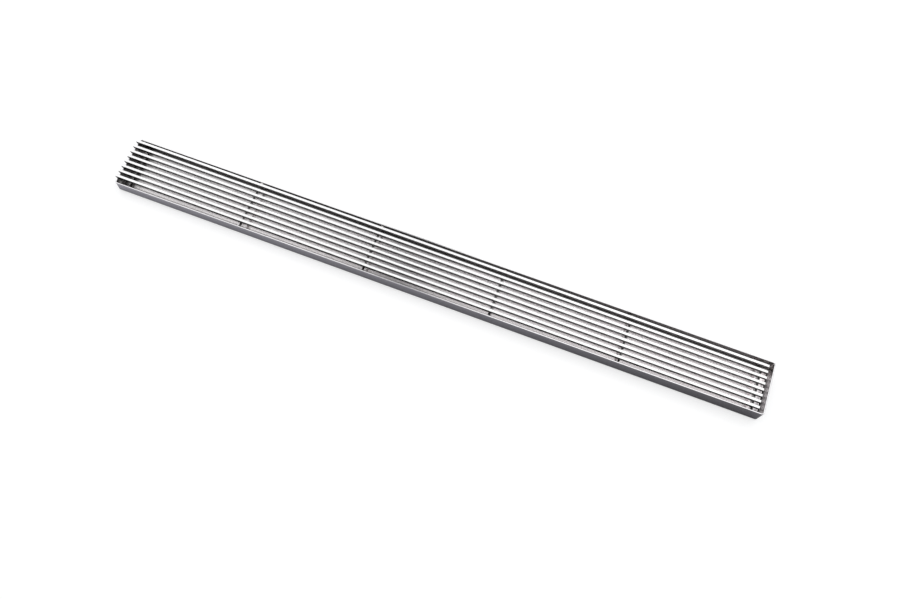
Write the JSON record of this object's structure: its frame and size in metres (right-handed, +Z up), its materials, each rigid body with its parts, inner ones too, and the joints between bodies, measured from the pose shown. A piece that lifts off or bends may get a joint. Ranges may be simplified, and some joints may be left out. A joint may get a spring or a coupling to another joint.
{
  "type": "linear floor drain",
  "caption": "Shallow stainless linear floor drain: a long channel with closed ends and a lift-out grate of lengthwise wedge wires on cross bars.",
  "frame": {"origin": "centre of the channel's flat underside", "axes": "+X along the channel to its deep end, +Y across the channel, +Z up out of the grate"},
  "size_m": [0.9, 0.074, 0.0262],
  "materials": {
    "channel_sheet": "lengthwise brushed, semi bright",
    "wire_steel": "fine linished tops, bright",
    "bar_steel": "drawn, dull"
  },
  "bodies": {
    "root": {"channel": "channel_sheet", "end_cap_shallow": "channel_sheet", "end_cap_deep": "channel_sheet", "wire_1": "wire_steel", "wire_2": "wire_steel", "wire_3": "wire_steel", "wire_4": "wire_steel", "wire_5": "wire_steel", "wire_6": "wire_steel", "wire_7": "wire_steel", "wire_8": "wire_steel", "cross_bar_1": "bar_steel", "cross_bar_2": "bar_steel", "cross_bar_3": "bar_steel", "cross_bar_4": "bar_steel", "cross_bar_5": "bar_steel", "cross_bar_6": "bar_steel"}
  },
  "joints": []
}
